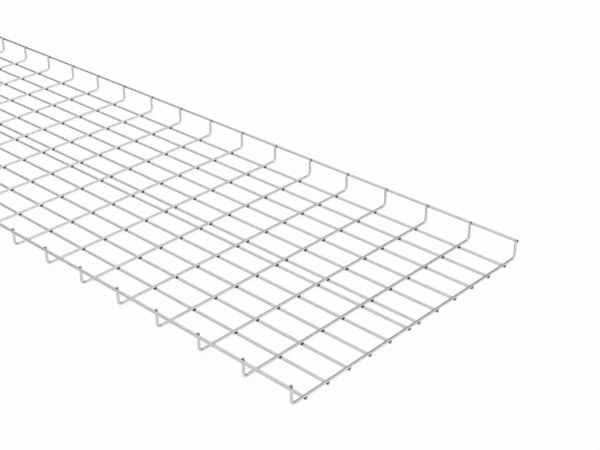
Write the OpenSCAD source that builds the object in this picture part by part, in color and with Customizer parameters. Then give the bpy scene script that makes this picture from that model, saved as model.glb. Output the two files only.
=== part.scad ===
// Wire mesh cable basket: a shallow tray of welded steel wire, one stock length.
// The tray lies along X on its floor wires. +Z is up, and the origin is at the
// middle of the tray's underside.

/* [Wire] */
// Diameter of every wire
wire_d = 5; // [4:0.5:6]
// How deep two crossing wires sink into each other at a weld
weld_set = 0.3; // [0.2:0.1:0.8]
// Radius of a cross wire's bend, to the middle of the wire
bend_r = 7; // [6:0.5:10]

/* [Tray] */
// Width over the two rim wires
tray_w = 600; // [150:50:600]
// Height over all, from under the floor wires to the top of the rim wires
tray_h = 42; // [35:0.5:110]
// Length over the cut ends of the lengthwise wires
tray_len = 3005; // [1000:1:3005]
// Distance from one cross wire to the next
cross_pitch = 100; // [60:5:110]
// Distance from one floor wire to the next
floor_pitch = 50; // [25:5:75]
// Distance between the two floor wires beside the middle line
centre_gap = 25; // [20:5:50]

/* [Hidden] */
NODES = ["mesh_section_1", "mesh_section_2", "mesh_section_3", "mesh_section_4",
    "mesh_section_5"];
section_n = len(NODES);

// A wire has few flat sides, turned so that crossing wires meet flat to flat.
wire_sides = 8;
// Steps of a full turn in the bends
bend_steps = 64;
zinc = [0.78, 0.79, 0.79];

// The distance between the axes of two wires that are welded together
weld_step = wire_d - weld_set;
floor_z = wire_d / 2;
cross_z = floor_z + weld_step;
rim_y = tray_w / 2 - wire_d / 2;
rim_z = tray_h - wire_d / 2;
// The legs stand inside the rim wires and end level with their tops.
leg_y = rim_y - weld_step;
leg_foot_z = cross_z + bend_r;
run_y = leg_y - bend_r;

// Floor wires on each side of the middle line: as many as the flat run carries
side_n = floor((run_y - wire_d / 2 - centre_gap / 2) / floor_pitch) + 1;
floor_ys = [for (side = [-1, 1], j = [0:side_n - 1])
    side * (centre_gap / 2 + j * floor_pitch)];

// As many cross wires as the length takes, set evenly about its middle. Where they
// fill it, the lengthwise wires are cut flush with the outer sides of the last ones.
cross_n = floor((tray_len - wire_d) / cross_pitch) + 1;
half_len = tray_len / 2;

// Where cross wire i stands along the tray
function cross_x(i) = (i - (cross_n - 1) / 2) * cross_pitch;

// The first cross wire of section s
function first_cross(s) = round(s * cross_n / section_n);

// Where section s starts: at the tray's end, or halfway between two cross wires
function section_x(s) =
    s == 0 ? -half_len :
    s == section_n ? half_len :
    cross_x(first_cross(s)) - cross_pitch / 2;

module wire_outline() {
    rotate(180 / wire_sides)
        circle(d = wire_d / cos(180 / wire_sides), $fn = wire_sides);
}

// One quarter bend and the leg above it, on the +Y side
module leg() {
    translate([0, run_y, leg_foot_z]) rotate([0, 90, 0])
        rotate_extrude(angle = 90, $fn = bend_steps)
            translate([bend_r, 0]) wire_outline();
    translate([0, leg_y, leg_foot_z])
        linear_extrude(tray_h - leg_foot_z) wire_outline();
}

// One cross wire: a flat run under the cables with a leg bent up at each end
module cross_wire() {
    translate([0, -run_y, cross_z]) rotate([-90, 0, 0])
        linear_extrude(2 * run_y) wire_outline();
    leg();
    mirror([0, 1, 0]) leg();
}

// One stretch of a lengthwise wire
module long_wire(x0, x1, y, z) {
    translate([x0, y, z]) rotate([0, 90, 0])
        linear_extrude(x1 - x0) wire_outline();
}

// Section s of the tray, from 0, its wires fused where they are welded
module mesh_section(s) {
    x0 = section_x(s);
    x1 = section_x(s + 1);
    color(zinc) union() {
        for (i = [first_cross(s):first_cross(s + 1) - 1])
            translate([cross_x(i), 0, 0]) cross_wire();
        for (y = floor_ys)
            long_wire(x0, x1, y, floor_z);
        for (side = [-1, 1])
            long_wire(x0, x1, side * rim_y, rim_z);
    }
}

mesh_section(0);  // mesh_section_1
mesh_section(1);  // mesh_section_2
mesh_section(2);  // mesh_section_3
mesh_section(3);  // mesh_section_4
mesh_section(4);  // mesh_section_5
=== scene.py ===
"""Wire mesh cable basket: round zinc-plated wires, their welds and a plain studio."""

import math
from types import SimpleNamespace

import bmesh
import bpy
from mathutils import Euler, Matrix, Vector


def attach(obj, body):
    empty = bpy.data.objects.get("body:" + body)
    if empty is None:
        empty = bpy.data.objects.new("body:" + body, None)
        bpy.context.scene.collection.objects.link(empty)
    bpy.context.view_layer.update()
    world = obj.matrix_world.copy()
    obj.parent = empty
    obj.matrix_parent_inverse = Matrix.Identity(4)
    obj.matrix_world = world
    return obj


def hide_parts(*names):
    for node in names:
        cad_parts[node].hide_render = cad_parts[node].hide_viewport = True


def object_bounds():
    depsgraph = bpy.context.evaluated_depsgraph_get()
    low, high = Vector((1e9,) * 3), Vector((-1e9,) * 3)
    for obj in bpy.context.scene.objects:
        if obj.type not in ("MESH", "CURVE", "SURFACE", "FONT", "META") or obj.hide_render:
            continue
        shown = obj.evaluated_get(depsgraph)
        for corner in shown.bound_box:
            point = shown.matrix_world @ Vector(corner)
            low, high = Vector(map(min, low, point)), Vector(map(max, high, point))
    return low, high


bl_info = {
    "name": "Wire Mesh Cable Basket",
    "version": (1, 0, 0),
    "blender": (4, 5, 0),
    "location": "3D View > Sidebar > Cable Basket",
    "description": "Dresses the cable basket's frame with round wires, welds and a studio",
    "category": "Object",
}

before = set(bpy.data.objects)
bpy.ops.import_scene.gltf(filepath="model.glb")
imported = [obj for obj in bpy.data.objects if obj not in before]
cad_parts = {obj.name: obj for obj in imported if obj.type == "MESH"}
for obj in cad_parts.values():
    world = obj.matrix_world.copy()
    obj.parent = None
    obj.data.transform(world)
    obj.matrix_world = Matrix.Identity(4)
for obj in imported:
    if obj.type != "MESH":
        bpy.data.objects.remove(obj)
CAD_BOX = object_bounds()
CAD_LOW, CAD_HIGH = CAD_BOX
SECTIONS = sorted(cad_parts)

WIRE_SIDES = 16
BEND_STEPS = 8
BEAD_SIDES = 10
MERGE = 1e-5
SHARP = math.radians(40)
# The widths of the beads' middle rings and how far they reach into each of the two
# wires, as shares of a wire's radius
FLOOR_BEAD, RIM_BEAD, BEAD_DEPTH = 1.1, 0.81, 0.5
# How far a bead spreads along a wire and draws in across it, as shares of its ring
BEAD_LONG, BEAD_SHORT = 0.22, 0.1
# How far the beads of the end cross wires stay behind the wires' cut ends
TRIM = 0.0001
# How much faster the painted shade round a weld fades upwards from a floor weld, and all round a
# rim weld
FADE_UP, FADE_RIM = 2.6, 1.35
# Metres of drawing pattern between wires that lie a metre apart, so no two look alike
DRAWN_APART = 7

# The middle and the two sides of the ceiling light, in metres
LAMP_PLACE, LAMP_SIZE = (0.3, -0.2, 3.4), (4.0, 2.5)
# How much of the floor's white comes from its own glow, which shadows leave alone
FLOOR_LIT = 0.9
# The room's level, and its lighter and darker round zones. Each has the azimuth and
# elevation of its middle, the radii within which it is full and past which it ends,
# all in degrees, and what it adds to the level. The wires mirror a bright room, which
# the dark walls shade and in which the small dark gaps draw fine lines along them.
ROOM_LEVEL, ROOM_LEAST = 1.5, 0.03
ROOM_ZONES = (
    ("overhead", 0, 90, 30, 55, 0.1),
    ("far wall", 95, 0, 40, 60, -1.4),
    ("end wall", 190, 0, 30, 40, -1.4),
    ("near wall", 235, 45, 20, 90, -0.7),
    ("far gap", 40, 45, 8, 15, -1.4),
    ("near gap", 230, 5, 15, 20, -1.2),
)


def linear(colour):
    """A colour written as sRGB hex, turned to the linear values that shaders take."""
    parts = [int(colour[i : i + 2], 16) / 255 for i in (1, 3, 5)]
    return [c / 12.92 if c <= 0.04045 else ((c + 0.055) / 1.055) ** 2.4 for c in parts]


# ---------------------------------------------------------------- sizes and colours


class BasketSizes(bpy.types.PropertyGroup):
    """The basket's sizes. What the frame shows comes from its box."""

    wire_diameter: bpy.props.FloatProperty(
        name="Wire diameter",
        description="Diameter of every wire",
        default=0.005,
        min=0.003,
        precision=4,
        unit="LENGTH",
    )
    weld_set: bpy.props.FloatProperty(
        name="Weld set",
        description="How deep two crossing wires sink into each other",
        default=0.0003,
        min=0.0,
        precision=5,
        unit="LENGTH",
    )
    bend_radius: bpy.props.FloatProperty(
        name="Bend radius",
        description="Radius of a cross wire's bend, to the middle of the wire",
        default=0.007,
        min=0.004,
        precision=4,
        unit="LENGTH",
    )
    cross_pitch: bpy.props.FloatProperty(
        name="Cross wire pitch",
        description="Distance from one cross wire to the next",
        default=0.1,
        min=0.02,
        unit="LENGTH",
    )
    floor_pitch: bpy.props.FloatProperty(
        name="Floor wire pitch",
        description="Distance from one floor wire to the next",
        default=0.05,
        min=0.01,
        unit="LENGTH",
    )
    centre_gap: bpy.props.FloatProperty(
        name="Centre gap",
        description="Distance between the two floor wires beside the middle line",
        default=0.025,
        min=0.01,
        unit="LENGTH",
    )
    tray_length: bpy.props.FloatProperty(
        name="Tray length",
        description="Length over the cut ends of the lengthwise wires",
        default=CAD_HIGH[0] - CAD_LOW[0],
        unit="LENGTH",
    )
    tray_width: bpy.props.FloatProperty(
        name="Tray width",
        description="Width over the two rim wires",
        default=CAD_HIGH[1] - CAD_LOW[1],
        unit="LENGTH",
    )
    tray_height: bpy.props.FloatProperty(
        name="Tray height",
        description="Height to the top of the rim wires",
        default=CAD_HIGH[2],
        unit="LENGTH",
    )
    end_bevel: bpy.props.FloatProperty(
        name="End bevel",
        description="Rounding round a wire's sheared end",
        default=0.0004,
        min=0.0,
        precision=5,
        unit="LENGTH",
    )


class BasketFinish(bpy.types.PropertyGroup):
    """The colours of the wires and their welds, and the painted shade round the welds."""

    zinc: bpy.props.FloatVectorProperty(
        name="Zinc",
        description="Bright zinc plating",
        default=linear("#D9DAD7"),
        subtype="COLOR",
    )
    dull_zinc: bpy.props.FloatVectorProperty(
        name="Dull zinc",
        description="Zinc where the plating is thinner or has been handled",
        default=linear("#C3C4C1"),
        subtype="COLOR",
    )
    crook_shade_dark: bpy.props.FloatVectorProperty(
        name="Dark crook shade",
        description="Painted shade in the crook of a weld",
        default=linear("#1B1A18"),
        subtype="COLOR",
    )
    crook_shade_light: bpy.props.FloatVectorProperty(
        name="Light crook shade",
        description="Lighter painted shade at the edge of a weld bead",
        default=linear("#373431"),
        subtype="COLOR",
    )
    roughness: bpy.props.FloatProperty(
        name="Roughness",
        description="Roughness of the plated wire",
        default=0.3,
        min=0.0,
        max=1.0,
        subtype="FACTOR",
    )
    shade_reach: bpy.props.FloatProperty(
        name="Shade reach",
        description="How far the painted shade reaches from the middle of a weld",
        default=0.0056,
        min=0.0,
        precision=4,
        unit="LENGTH",
    )


class BasketStudio(bpy.types.PropertyGroup):
    """The camera and the light."""

    camera_place: bpy.props.FloatVectorProperty(
        name="Camera place",
        description="Where the camera stands",
        default=(2.42, -1.26, 1.0354),
        subtype="TRANSLATION",
    )
    camera_turn: bpy.props.FloatVectorProperty(
        name="Camera turn",
        description="How the camera is turned",
        default=[math.radians(turn) for turn in (61.42, 0.07, 42.97)],
        subtype="EULER",
    )
    lens: bpy.props.FloatProperty(
        name="Lens",
        description="Focal length on a 36 mm wide sensor",
        default=67.83,
        min=1.0,
        unit="CAMERA",
    )
    floor_size: bpy.props.FloatProperty(
        name="Floor size",
        description="Width of the white floor",
        default=60.0,
        min=5.0,
        unit="LENGTH",
    )
    ceiling_light: bpy.props.FloatProperty(
        name="Ceiling light",
        description="Power of the large soft light overhead",
        default=12.0,
        min=0.0,
        unit="POWER",
    )


def layout(sizes):
    """Where the wires lie, worked out from the sizes as the frame's own are."""
    radius = sizes.wire_diameter / 2
    step = sizes.wire_diameter - sizes.weld_set
    plan = SimpleNamespace(radius=radius)
    plan.top = sizes.tray_height
    plan.floor_z = radius
    plan.cross_z = radius + step
    plan.rim_y = sizes.tray_width / 2 - radius
    plan.rim_z = sizes.tray_height - radius
    plan.leg_y = plan.rim_y - step
    plan.foot_z = plan.cross_z + sizes.bend_radius
    plan.run_y = plan.leg_y - sizes.bend_radius
    half_gap = sizes.centre_gap / 2
    side_room = plan.run_y - radius - half_gap
    plan.side_n = math.floor(side_room / sizes.floor_pitch + MERGE) + 1
    cross_room = sizes.tray_length - sizes.wire_diameter
    plan.cross_n = math.floor(cross_room / sizes.cross_pitch + MERGE) + 1
    plan.half_length = sizes.tray_length / 2
    plan.first_x = -(plan.cross_n - 1) / 2 * sizes.cross_pitch
    plan.first_y = half_gap
    plan.floor_weld_z = (plan.floor_z + plan.cross_z) / 2
    plan.rim_weld_y = (plan.leg_y + plan.rim_y) / 2
    return plan


# ---------------------------------------------------------------- modelling by hand


def start_ring(name, sides, radius, place, turn):
    """Adds a ring of edges at its place and opens it for editing, all selected."""
    bpy.ops.object.select_all(action="DESELECT")
    bpy.ops.mesh.primitive_circle_add(
        vertices=sides, radius=radius, fill_type="NOTHING", location=place, rotation=turn
    )
    piece = bpy.context.active_object
    piece.name = piece.data.name = name
    bpy.ops.object.transform_apply(location=True, rotation=True, scale=True)
    bpy.ops.object.mode_set(mode="EDIT")
    bpy.ops.mesh.select_mode(type="VERT")
    bpy.ops.mesh.select_all(action="SELECT")
    return piece


def draw_on(way):
    """Extrudes the selected ring along way."""
    bpy.ops.mesh.extrude_region_move(
        TRANSFORM_OT_translate={"value": way, "orient_type": "GLOBAL"}
    )


def pick(piece, wanted):
    """Selects, in edit mode, the vertices that wanted accepts by their place."""
    bpy.ops.mesh.select_all(action="DESELECT")
    shape = bmesh.from_edit_mesh(piece.data)
    for vertex in shape.verts:
        vertex.select_set(wanted(vertex.co))
    shape.select_flush(True)
    bmesh.update_edit_mesh(piece.data)


def shear_end(bevel):
    """Closes the selected ring as a wire's cut end and rounds its edge a little."""
    bpy.ops.mesh.edge_face_add()
    bpy.ops.mesh.bevel(offset=bevel, segments=2, affect="EDGES")


def repeat(piece, count, step):
    """Copies the piece along step, each copy with its own mesh."""
    array = piece.modifiers.new("Repeat", "ARRAY")
    array.count = count
    array.use_relative_offset = False
    array.use_constant_offset = True
    array.constant_offset_displace = step
    bpy.ops.object.modifier_apply(modifier=array.name)


def other_side(piece, join):
    """Mirrors the piece over the basket's middle line."""
    mirror = piece.modifiers.new("Other side", "MIRROR")
    mirror.use_axis = (False, True, False)
    mirror.use_mirror_merge = join
    mirror.merge_threshold = MERGE
    bpy.ops.object.modifier_apply(modifier=mirror.name)


def close_up(piece):
    """Turns every face outwards and shades the round of the wires smooth."""
    bpy.ops.object.mode_set(mode="EDIT")
    bpy.ops.mesh.select_all(action="SELECT")
    bpy.ops.mesh.normals_make_consistent(inside=False)
    bpy.ops.object.mode_set(mode="OBJECT")
    bpy.ops.object.shade_smooth_by_angle(angle=SHARP)
    shape = bmesh.new()
    shape.from_mesh(piece.data)
    loose = sum(not edge.is_manifold for edge in shape.edges)
    shape.free()
    if loose:
        raise RuntimeError(f"{piece.name} isn't closed: {loose} open edges")


def seat(piece, *materials):
    """Gives the piece its materials and makes it part of the basket."""
    for material in materials:
        piece.data.materials.append(material)
    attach(piece, "root")
    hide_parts(*SECTIONS)


def paint_ends(piece):
    """Gives the second material to the cut ends, the only faces with so many sides."""
    for face in piece.data.polygons:
        if len(face.vertices) == WIRE_SIDES:
            face.material_index = 1


def record_drawing(piece, on_wire):
    """Stores where each vertex lies on its own wire: along it, and off its axis."""
    drawn = piece.data.attributes.new("drawn", "FLOAT_VECTOR", "POINT")
    for vertex, entry in zip(piece.data.vertices, drawn.data):
        entry.vector = on_wire(vertex.co)


# ---------------------------------------------------------------- materials


def add_node(tree, kind, inputs=None, **settings):
    """Adds a node with its settings. An input is a value or the socket that feeds it."""
    node = tree.nodes.new(kind)
    for name, value in settings.items():
        setattr(node, name, value)
    for key, value in (inputs or {}).items():
        if isinstance(value, bpy.types.NodeSocket):
            tree.links.new(value, node.inputs[key])
        else:
            node.inputs[key].default_value = value
    return node


def new_material(name):
    """An empty material with its output, and its tree."""
    material = bpy.data.materials.new(name)
    material.use_nodes = True
    material.node_tree.nodes.clear()
    return material, material.node_tree


def opaque(colour):
    """A colour property with its alpha, as a node's colour socket takes it."""
    return (*colour, 1.0)


def weld_distance(tree, sizes, plan):
    """The distance from a point to the nearest weld, in metres, from its place."""
    place = add_node(tree, "ShaderNodeTexCoord").outputs["Object"]
    xyz = add_node(tree, "ShaderNodeSeparateXYZ", {0: place})
    math_node = "ShaderNodeMath"
    odd = 0.0 if plan.cross_n % 2 else sizes.cross_pitch / 2
    along = add_node(tree, math_node, {0: xyz.outputs[0], 1: odd}, operation="ADD")
    along = add_node(tree, math_node, {0: along.outputs[0]}, operation="ABSOLUTE")
    along = add_node(
        tree, math_node, {0: along.outputs[0], 1: sizes.cross_pitch / 2}, operation="PINGPONG"
    )
    aside = add_node(tree, math_node, {0: xyz.outputs[1]}, operation="ABSOLUTE")
    shift = sizes.floor_pitch - sizes.centre_gap / 2
    across = add_node(tree, math_node, {0: aside.outputs[0], 1: shift}, operation="ADD")
    across = add_node(
        tree, math_node, {0: across.outputs[0], 1: sizes.floor_pitch / 2}, operation="PINGPONG"
    )
    # Above the weld the painted shade fades faster, so that it darkens the lower wire and only
    # the underside of the upper one.
    below = add_node(
        tree, math_node, {0: plan.floor_weld_z, 1: xyz.outputs[2]}, operation="SUBTRACT"
    )
    above = add_node(tree, math_node, {0: below.outputs[0], 1: -FADE_UP}, operation="MULTIPLY")
    height = add_node(
        tree, math_node, {0: below.outputs[0], 1: above.outputs[0]}, operation="MAXIMUM"
    )
    floor_offset = add_node(
        tree,
        "ShaderNodeCombineXYZ",
        {0: along.outputs[0], 1: across.outputs[0], 2: height.outputs[0]},
    )
    floor_way = add_node(
        tree, "ShaderNodeVectorMath", {0: floor_offset.outputs[0]}, operation="LENGTH"
    )
    out = add_node(
        tree, math_node, {0: aside.outputs[0], 1: plan.rim_weld_y}, operation="SUBTRACT"
    )
    up = add_node(tree, math_node, {0: xyz.outputs[2], 1: plan.rim_z}, operation="SUBTRACT")
    rim_offset = add_node(
        tree,
        "ShaderNodeCombineXYZ",
        {0: along.outputs[0], 1: out.outputs[0], 2: up.outputs[0]},
    )
    rim_way = add_node(
        tree, "ShaderNodeVectorMath", {0: rim_offset.outputs[0]}, operation="LENGTH"
    )
    rim_way = add_node(
        tree, math_node, {0: rim_way.outputs["Value"], 1: FADE_RIM}, operation="MULTIPLY"
    )
    nearest = add_node(
        tree,
        math_node,
        {0: floor_way.outputs["Value"], 1: rim_way.outputs[0]},
        operation="MINIMUM",
    )
    return place, nearest.outputs[0]


def bright_zinc_with_painted_weld_shade(sizes, finish, plan):
    """Bright electroplated zinc on drawn mild steel wire.

    Drawing leaves fine lines along the wire, which draw the highlight out lengthwise.
    The plating is a light neutral grey, a little duller in soft patches. Round each weld the
    colour is painted nearly black, less metallic and rougher: painted shade of the crook between
    the two wires.
    """
    material, tree = new_material("bright_zinc_with_painted_weld_shade")
    place, distance = weld_distance(tree, sizes, plan)
    # Patches of duller plating, about 12 mm across
    patches = add_node(
        tree, "ShaderNodeTexNoise", {"Vector": place, "Scale": 80.0, "Detail": 3.0}
    )
    plating = add_node(
        tree,
        "ShaderNodeMix",
        {
            "Factor": patches.outputs["Fac"],
            6: opaque(finish.zinc),
            7: opaque(finish.dull_zinc),
        },
        data_type="RGBA",
    )
    # Painted shade round each weld, with a ragged edge of about 1 mm
    ragged = add_node(
        tree, "ShaderNodeTexNoise", {"Vector": place, "Scale": 900.0, "Detail": 2.0}
    )
    wobble = add_node(
        tree,
        "ShaderNodeMath",
        {0: ragged.outputs["Fac"], 1: 0.002, 2: -0.001},
        operation="MULTIPLY_ADD",
    )
    edge = add_node(
        tree, "ShaderNodeMath", {0: distance, 1: wobble.outputs[0]}, operation="ADD"
    )
    shade_mask = add_node(
        tree,
        "ShaderNodeMapRange",
        {
            "Value": edge.outputs[0],
            "From Min": finish.shade_reach * 0.6,
            "From Max": finish.shade_reach,
            "To Min": 1.0,
            "To Max": 0.0,
        },
        interpolation_type="SMOOTHSTEP",
    )
    # The plating darkened towards the dark crook colour near each weld: painted shade, not a
    # mark on the metal
    shaded_plating = add_node(
        tree,
        "ShaderNodeMix",
        {
            "Factor": shade_mask.outputs[0],
            6: plating.outputs[2],
            7: opaque(finish.crook_shade_dark),
        },
        data_type="RGBA",
    )
    metal = add_node(
        tree, "ShaderNodeMath", {0: shade_mask.outputs[0], 1: -0.8, 2: 1.0}, operation="MULTIPLY_ADD"
    )
    # Drawing lines, 0.4 mm apart round the wire and about 40 mm long. The real ones
    # are finer than 0.1 mm; these are coarse enough to show.
    drawn = add_node(tree, "ShaderNodeAttribute", attribute_name="drawn")
    stretched = add_node(
        tree,
        "ShaderNodeVectorMath",
        {0: drawn.outputs["Vector"], 1: (25.0, 2500.0, 2500.0)},
        operation="MULTIPLY",
    )
    lines = add_node(
        tree, "ShaderNodeTexNoise", {"Vector": stretched.outputs[0], "Scale": 1.0, "Detail": 2.0}
    )
    rough = add_node(
        tree,
        "ShaderNodeMapRange",
        {
            "Value": lines.outputs["Fac"],
            "To Min": finish.roughness - 0.08,
            "To Max": finish.roughness + 0.08,
        },
    )
    rougher = add_node(
        tree,
        "ShaderNodeMath",
        {0: shade_mask.outputs[0], 1: 0.35, 2: rough.outputs[0]},
        operation="MULTIPLY_ADD",
    )
    relief = add_node(
        tree,
        "ShaderNodeBump",
        {"Height": lines.outputs["Fac"], "Strength": 0.15, "Distance": 0.0001},
    )
    surface = add_node(
        tree,
        "ShaderNodeBsdfPrincipled",
        {
            "Base Color": shaded_plating.outputs[2],
            "Metallic": metal.outputs[0],
            "Roughness": rougher.outputs[0],
            "Normal": relief.outputs[0],
        },
    )
    add_node(tree, "ShaderNodeOutputMaterial", {"Surface": surface.outputs[0]})
    return material


def zinc_on_sheared_steel(finish):
    """The same plating on the face that the shears left, cut before the mesh was plated.

    The zinc fills the tear lines but keeps their ups and downs, so the face is as
    light as the wire's duller patches and more matt.
    """
    material, tree = new_material("zinc_on_sheared_steel")
    place = add_node(tree, "ShaderNodeTexCoord").outputs["Object"]
    # Tear lines, about 0.7 mm apart
    torn = add_node(
        tree, "ShaderNodeTexNoise", {"Vector": place, "Scale": 1400.0, "Detail": 3.0}
    )
    rough = add_node(
        tree,
        "ShaderNodeMapRange",
        {"Value": torn.outputs["Fac"], "To Min": 0.4, "To Max": 0.65},
    )
    relief = add_node(
        tree,
        "ShaderNodeBump",
        {"Height": torn.outputs["Fac"], "Strength": 0.3, "Distance": 0.0002},
    )
    surface = add_node(
        tree,
        "ShaderNodeBsdfPrincipled",
        {
            "Base Color": opaque(finish.dull_zinc),
            "Metallic": 0.9,
            "Roughness": rough.outputs[0],
            "Normal": relief.outputs[0],
        },
    )
    add_node(tree, "ShaderNodeOutputMaterial", {"Surface": surface.outputs[0]})
    return material


def weld_bead_painted_shade(finish):
    """Metal squeezed out of a resistance weld, coloured nearly black as painted shade of the
    weld's crook.

    It is matt, and a little lighter and browner in blotches.
    """
    material, tree = new_material("weld_bead_painted_shade")
    place = add_node(tree, "ShaderNodeTexCoord").outputs["Object"]
    # Blotches in the painted shade, about 0.8 mm across
    blisters = add_node(
        tree, "ShaderNodeTexNoise", {"Vector": place, "Scale": 1200.0, "Detail": 3.0}
    )
    tone = add_node(
        tree,
        "ShaderNodeMix",
        {
            "Factor": blisters.outputs["Fac"],
            6: opaque(finish.crook_shade_dark),
            7: opaque(finish.crook_shade_light),
        },
        data_type="RGBA",
    )
    rough = add_node(
        tree,
        "ShaderNodeMapRange",
        {"Value": blisters.outputs["Fac"], "To Min": 0.55, "To Max": 0.85},
    )
    relief = add_node(
        tree,
        "ShaderNodeBump",
        {"Height": blisters.outputs["Fac"], "Strength": 0.5, "Distance": 0.0003},
    )
    surface = add_node(
        tree,
        "ShaderNodeBsdfPrincipled",
        {
            "Base Color": tone.outputs[2],
            "Metallic": 0.2,
            "Roughness": rough.outputs[0],
            "Normal": relief.outputs[0],
        },
    )
    add_node(tree, "ShaderNodeOutputMaterial", {"Surface": surface.outputs[0]})
    return material


def shared(name, make, *values):
    """The material of that name, made the first time that it is asked for."""
    return bpy.data.materials.get(name) or make(*values)


# ---------------------------------------------------------------- the pieces


class BASKET_OT_floor_wires(bpy.types.Operator):
    """Draw the twelve lengthwise wires that carry the cross wires"""

    bl_idname = "basket.floor_wires"
    bl_label = "Floor wires"

    def execute(self, context):
        sizes, finish = context.scene.basket_sizes, context.scene.basket_finish
        plan = layout(sizes)
        wire = straight_wire("floor_wires", sizes, plan, plan.first_y, plan.floor_z)
        repeat(wire, plan.side_n, (0, sizes.floor_pitch, 0))
        other_side(wire, join=False)
        close_up(wire)

        def on_wire(co):
            nearest = round((abs(co.y) - plan.first_y) / sizes.floor_pitch)
            axis_y = plan.first_y + nearest * sizes.floor_pitch
            return co.x + DRAWN_APART * co.y, abs(co.y) - axis_y, co.z - plan.floor_z

        record_drawing(wire, on_wire)
        seat(wire, *wire_materials(sizes, finish, plan))
        paint_ends(wire)
        return {"FINISHED"}


class BASKET_OT_rim_wires(bpy.types.Operator):
    """Draw the two rim wires that run outside the legs"""

    bl_idname = "basket.rim_wires"
    bl_label = "Rim wires"

    def execute(self, context):
        sizes, finish = context.scene.basket_sizes, context.scene.basket_finish
        plan = layout(sizes)
        wire = straight_wire("rim_wires", sizes, plan, plan.rim_y, plan.rim_z)
        other_side(wire, join=False)
        close_up(wire)

        def on_wire(co):
            return co.x + DRAWN_APART * co.y, abs(co.y) - plan.rim_y, co.z - plan.rim_z

        record_drawing(wire, on_wire)
        seat(wire, *wire_materials(sizes, finish, plan))
        paint_ends(wire)
        return {"FINISHED"}


class BASKET_OT_cross_wires(bpy.types.Operator):
    """Bend one cross wire up at both ends and repeat it along the tray"""

    bl_idname = "basket.cross_wires"
    bl_label = "Cross wires"

    def execute(self, context):
        sizes, finish = context.scene.basket_sizes, context.scene.basket_finish
        plan = layout(sizes)
        middle = (plan.first_x, 0, plan.cross_z)
        wire = start_ring(
            "cross_wires", WIRE_SIDES, plan.radius, middle, (math.pi / 2, 0, 0)
        )
        draw_on((0, plan.run_y, 0))
        bpy.ops.mesh.spin(
            steps=BEND_STEPS,
            angle=-math.pi / 2,
            center=(plan.first_x, plan.run_y, plan.foot_z),
            axis=(1, 0, 0),
        )
        draw_on((0, 0, plan.top - plan.foot_z))
        shear_end(sizes.end_bevel)
        bpy.ops.object.mode_set(mode="OBJECT")
        other_side(wire, join=True)
        repeat(wire, plan.cross_n, (sizes.cross_pitch, 0, 0))
        close_up(wire)
        arc = sizes.bend_radius * math.pi / 2

        def on_wire(co):
            nearest = round((co.x - plan.first_x) / sizes.cross_pitch)
            axis_x = plan.first_x + nearest * sizes.cross_pitch
            aside, up = abs(co.y) - plan.run_y, plan.foot_z - co.z
            if aside <= 0:
                along, off = aside, up - sizes.bend_radius
            elif up <= 0:
                along, off = arc - up, aside - sizes.bend_radius
            else:
                along = math.atan2(aside, up) * sizes.bend_radius
                off = math.hypot(aside, up) - sizes.bend_radius
            along = math.copysign(plan.run_y + along, co.y)
            return along + DRAWN_APART * axis_x, off, co.x - axis_x

        record_drawing(wire, on_wire)
        seat(wire, *wire_materials(sizes, finish, plan))
        paint_ends(wire)
        return {"FINISHED"}


class BASKET_OT_welds(bpy.types.Operator):
    """Set a small bead in the crook of every weld, coloured nearly black as painted shade"""

    bl_idname = "basket.welds"
    bl_label = "Welds"

    def execute(self, context):
        sizes, finish = context.scene.basket_sizes, context.scene.basket_finish
        plan = layout(sizes)
        # The beads' material: a near-black colour that is painted shade of the weld crooks
        scale = shared("weld_bead_painted_shade", weld_bead_painted_shade, finish)
        along_x, along_y, along_z = Vector((1, 0, 0)), Vector((0, 1, 0)), Vector((0, 0, 1))

        floor_weld = Vector((plan.first_x, plan.first_y, plan.floor_weld_z))
        beads = bead("floor_welds", floor_weld, FLOOR_BEAD, along_x, along_y, along_z, plan)
        repeat(beads, plan.cross_n, (sizes.cross_pitch, 0, 0))
        repeat(beads, plan.side_n, (0, sizes.floor_pitch, 0))
        trim(beads, plan.half_length - TRIM)
        other_side(beads, join=False)
        close_up(beads)
        seat(beads, scale)

        rim_weld = Vector((plan.first_x, plan.rim_weld_y, plan.rim_z))
        beads = bead("rim_welds", rim_weld, RIM_BEAD, along_z, along_x, along_y, plan)
        repeat(beads, plan.cross_n, (sizes.cross_pitch, 0, 0))
        trim(beads, plan.half_length - TRIM)
        other_side(beads, join=False)
        close_up(beads)
        seat(beads, scale)
        return {"FINISHED"}


def trim(piece, reach):
    """Flattens what lies beyond reach at both ends, as the shears that cut the mesh do."""
    bpy.ops.object.mode_set(mode="EDIT")
    for side in (-1, 1):
        pick(piece, lambda co: co.x * side > reach)
        bpy.ops.transform.resize(value=(0, 1, 1), center_override=(side * reach, 0, 0))
    bpy.ops.object.mode_set(mode="OBJECT")


def straight_wire(name, sizes, plan, y, z):
    """Draws one wire the length of the tray and shears both its ends."""
    start = (-plan.half_length, y, z)
    wire = start_ring(name, WIRE_SIDES, plan.radius, start, (0, math.pi / 2, 0))
    draw_on((2 * plan.half_length, 0, 0))
    shear_end(sizes.end_bevel)
    pick(wire, lambda co: co.x < MERGE - plan.half_length)
    shear_end(sizes.end_bevel)
    bpy.ops.object.mode_set(mode="OBJECT")
    return wire


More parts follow.
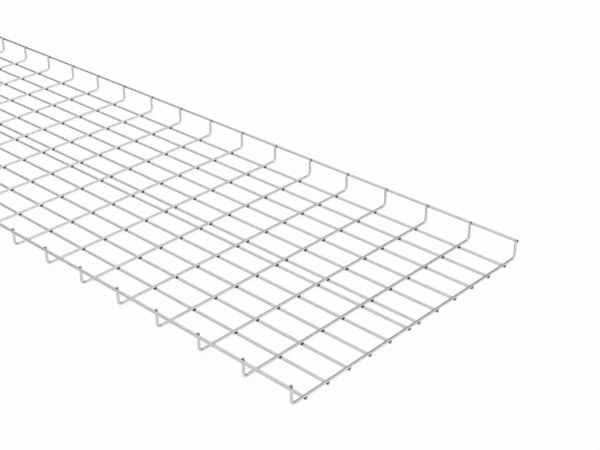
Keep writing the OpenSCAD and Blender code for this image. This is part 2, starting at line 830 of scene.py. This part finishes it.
def bead(name, middle, width, lower, upper, way, plan):
    """Shapes one bead: a ring in the crook, drawn both ways over the two wires.

    width is a share of the wire's radius. lower is the run of the wire behind the
    weld, upper that of the wire ahead of it, and way goes through it.
    """
    turn = way.to_track_quat("Z", "Y").to_euler()
    piece = start_ring(name, BEAD_SIDES, width * plan.radius, middle, turn)
    for side, run in ((1, upper), (-1, lower)):
        pick(piece, lambda co: abs((co - middle).dot(way)) < MERGE)
        draw_on(way * side * BEAD_DEPTH * plan.radius)
        across = way.cross(run)
        spread = [
            1 + BEAD_LONG * abs(run[i]) - BEAD_SHORT * abs(across[i]) for i in range(3)
        ]
        bpy.ops.transform.resize(
            value=spread, orient_type="GLOBAL", center_override=middle + way * side
        )
        bpy.ops.mesh.edge_face_add()
    bpy.ops.object.mode_set(mode="OBJECT")
    return piece


def wire_materials(sizes, finish, plan):
    """The plated wire's material, and that of its sheared ends."""
    return (
        shared("bright_zinc_with_painted_weld_shade", bright_zinc_with_painted_weld_shade, sizes, finish, plan),
        shared("zinc_on_sheared_steel", zinc_on_sheared_steel, finish),
    )


# ---------------------------------------------------------------- the studio


class BASKET_OT_studio(bpy.types.Operator):
    """Set up the white floor, the soft light and the camera"""

    bl_idname = "basket.studio"
    bl_label = "Studio"

    def execute(self, context):
        studio = context.scene.basket_studio
        bpy.ops.object.select_all(action="DESELECT")
        bpy.ops.mesh.primitive_plane_add(size=studio.floor_size)
        floor = context.active_object
        floor.name = "studio_floor"
        floor.data.materials.append(white_paper())

        bpy.ops.object.light_add(type="AREA", location=LAMP_PLACE)
        lamp = context.active_object
        lamp.name = "ceiling_light"
        lamp.data.shape = "RECTANGLE"
        lamp.data.size, lamp.data.size_y = LAMP_SIZE
        lamp.data.energy = studio.ceiling_light

        bpy.ops.object.camera_add(
            location=studio.camera_place, rotation=studio.camera_turn
        )
        camera = context.active_object
        camera.name = "studio_camera"
        camera.data.lens = studio.lens
        camera.data.sensor_width = 36.0
        camera.data.clip_end = 200.0
        context.scene.camera = camera

        context.scene.world = studio_room()
        context.scene.view_settings.view_transform = "Standard"
        return {"FINISHED"}


def seen_rays(tree):
    """1 for rays from the camera and from glossy or clear surfaces, else 0."""
    path = add_node(tree, "ShaderNodeLightPath")
    seen = path.outputs["Is Camera Ray"]
    for name in ("Is Glossy Ray", "Is Transmission Ray"):
        both = add_node(
            tree, "ShaderNodeMath", {0: seen, 1: path.outputs[name]}, operation="MAXIMUM"
        )
        seen = both.outputs[0]
    return seen


def white_paper():
    """A roll of white background paper, matt, lit until it is nearly pure white."""
    material, tree = new_material("white_background_paper")
    paper = add_node(
        tree,
        "ShaderNodeBsdfPrincipled",
        {"Base Color": opaque(linear("#F4F4F2")), "Roughness": 0.9},
    )
    lit = add_node(tree, "ShaderNodeEmission", {"Color": (1, 1, 1, 1), "Strength": 1.0})
    share = add_node(
        tree, "ShaderNodeMath", {0: seen_rays(tree), 1: FLOOR_LIT}, operation="MULTIPLY"
    )
    mixed = add_node(
        tree,
        "ShaderNodeMixShader",
        {0: share.outputs[0], 1: paper.outputs[0], 2: lit.outputs[0]},
    )
    add_node(tree, "ShaderNodeOutputMaterial", {"Surface": mixed.outputs[0]})
    return material


def studio_room():
    """A pale room round the paper: white to the camera, softly graded for the metal."""
    world = bpy.data.worlds.new("studio_room")
    world.use_nodes = True
    tree = world.node_tree
    tree.nodes.clear()
    way = add_node(tree, "ShaderNodeTexCoord").outputs["Generated"]
    level = None
    for zone, azimuth, elevation, full, ends, amount in ROOM_ZONES:
        middle = Euler((0, -math.radians(elevation), math.radians(azimuth)))
        axis = middle.to_matrix() @ Vector((1, 0, 0))
        facing = add_node(
            tree,
            "ShaderNodeVectorMath",
            {0: way, 1: axis},
            operation="DOT_PRODUCT",
        )
        glow = add_node(
            tree,
            "ShaderNodeMapRange",
            {
                "Value": facing.outputs["Value"],
                "From Min": math.cos(math.radians(ends)),
                "From Max": math.cos(math.radians(full)),
                "To Min": 0.0,
                "To Max": amount,
            },
            interpolation_type="SMOOTHSTEP",
        )
        glow.label = zone
        before = ROOM_LEVEL if level is None else level
        total = add_node(
            tree, "ShaderNodeMath", {0: before, 1: glow.outputs[0]}, operation="ADD"
        )
        level = total.outputs[0]
    level = add_node(
        tree, "ShaderNodeMath", {0: level, 1: ROOM_LEAST}, operation="MAXIMUM"
    ).outputs[0]
    room = add_node(tree, "ShaderNodeBackground", {"Color": (1, 1, 1, 1), "Strength": level})
    white = add_node(tree, "ShaderNodeBackground", {"Color": (1, 1, 1, 1), "Strength": 1.0})
    path = add_node(tree, "ShaderNodeLightPath")
    mixed = add_node(
        tree,
        "ShaderNodeMixShader",
        {0: path.outputs["Is Camera Ray"], 1: room.outputs[0], 2: white.outputs[0]},
    )
    add_node(tree, "ShaderNodeOutputWorld", {"Surface": mixed.outputs[0]})
    return world


# ---------------------------------------------------------------- the add-on


class BASKET_PT_panel(bpy.types.Panel):
    """The cable basket's pieces and settings"""

    bl_idname = "BASKET_PT_panel"
    bl_label = "Cable Basket"
    bl_space_type = "VIEW_3D"
    bl_region_type = "UI"
    bl_category = "Cable Basket"

    def draw(self, context):
        layout_column = self.layout.column()
        for piece in PIECES:
            layout_column.operator(piece.bl_idname)
        for settings in ("basket_sizes", "basket_finish", "basket_studio"):
            group = getattr(context.scene, settings)
            box = self.layout.box()
            for name in group.__annotations__:
                box.prop(group, name)


PIECES = (
    BASKET_OT_studio,
    BASKET_OT_cross_wires,
    BASKET_OT_floor_wires,
    BASKET_OT_rim_wires,
    BASKET_OT_welds,
)
GROUPS = {
    "basket_sizes": BasketSizes,
    "basket_finish": BasketFinish,
    "basket_studio": BasketStudio,
}


def register():
    for group in GROUPS.values():
        bpy.utils.register_class(group)
    for name, group in GROUPS.items():
        setattr(bpy.types.Scene, name, bpy.props.PointerProperty(type=group))
    for shown in (*PIECES, BASKET_PT_panel):
        bpy.utils.register_class(shown)


def unregister():
    for shown in (BASKET_PT_panel, *reversed(PIECES)):
        bpy.utils.unregister_class(shown)
    for name in GROUPS:
        delattr(bpy.types.Scene, name)
    for group in GROUPS.values():
        bpy.utils.unregister_class(group)


def main():
    register()
    bpy.ops.basket.studio()
    bpy.ops.basket.cross_wires()
    bpy.ops.basket.floor_wires()
    bpy.ops.basket.rim_wires()
    bpy.ops.basket.welds()


if __name__ == "__main__":
    main()
